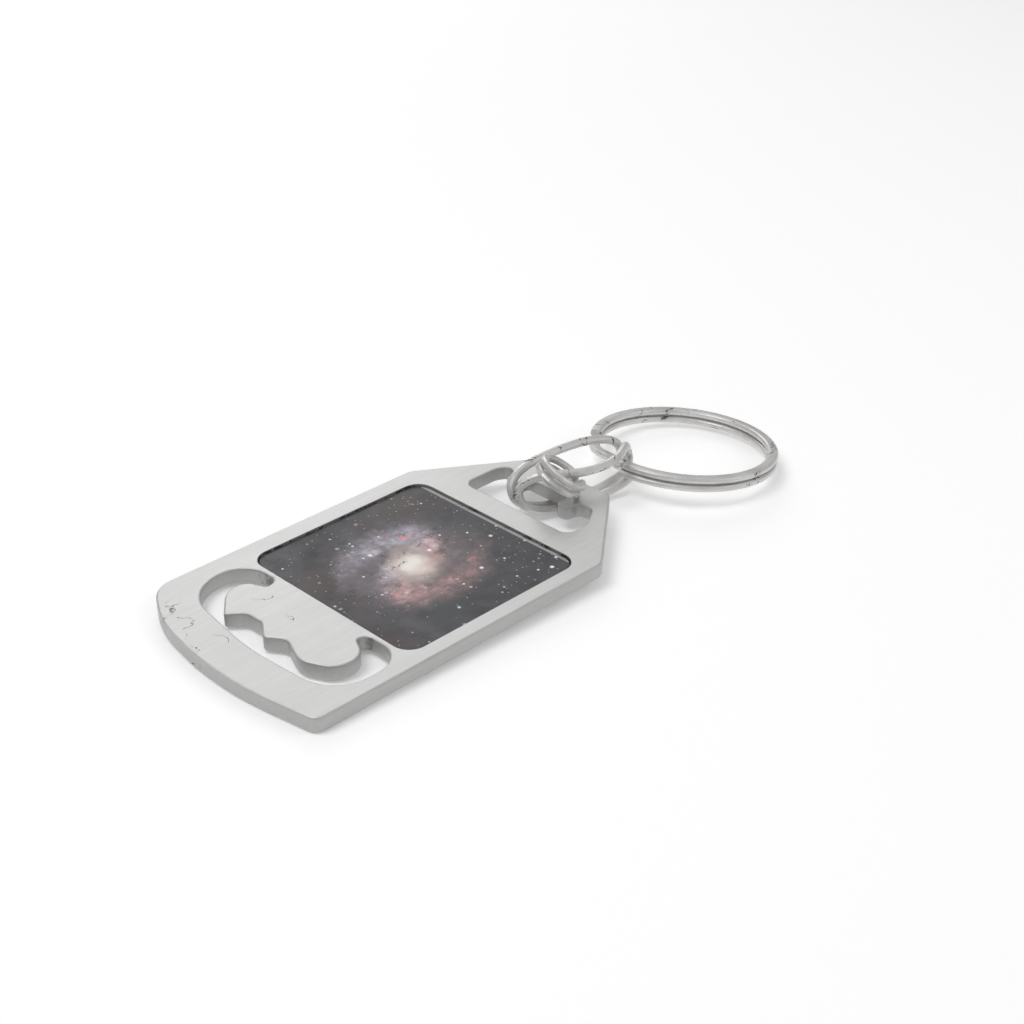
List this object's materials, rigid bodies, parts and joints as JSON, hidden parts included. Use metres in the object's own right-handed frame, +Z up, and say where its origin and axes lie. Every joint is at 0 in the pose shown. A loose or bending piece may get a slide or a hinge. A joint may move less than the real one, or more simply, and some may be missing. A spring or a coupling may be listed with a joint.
{
  "type": "keychain bottle opener",
  "caption": "Flat metal bottle opener plate with a shaped cap opening and a recessed picture insert, on an oval wire ring and a flat-wire key ring.",
  "frame": {"origin": "middle of the length and width, on the surface it lies on", "axes": "+X along the plate towards the key ring, +Y across the plate, +Z up out of the picture side"},
  "size_m": [0.1086, 0.04, 0.0108],
  "materials": {
    "plate_metal": "satin, brushed along its length",
    "ring_metal": "satin",
    "picture": "printed star field, semi gloss",
    "adhesive": "matte"
  },
  "bodies": {
    "opener": {"opener_body": "plate_metal", "picture_plate": "picture", "adhesive_pad": "adhesive"},
    "slot_ring": {"slot_ring": "ring_metal"},
    "small_ring": {"small_ring": "ring_metal"},
    "key_ring": {"key_ring": "ring_metal"}
  },
  "joints": [
    {"name": "slot_swing", "type": "hinge", "parent": "opener", "child": "slot_ring", "pos_m": [0.01372, 0.0004, 0.00302], "axis": [-0.0276, 0, 0.9996], "range_deg": [-15, 30]},
    {"name": "key_ring_swing", "type": "hinge", "parent": "slot_ring", "child": "key_ring", "pos_m": [0.02478, -0.0031, 0.0041], "axis": [0.0013, -0.9999, 0.0149], "range_deg": [0, 120]},
    {"name": "small_ring_swing", "type": "hinge", "parent": "slot_ring", "child": "small_ring", "pos_m": [0.01098, -0.00185, 0.00751], "axis": [-0.7899, 0.6127, -0.0253], "range_deg": [-8, 38]}
  ]
}
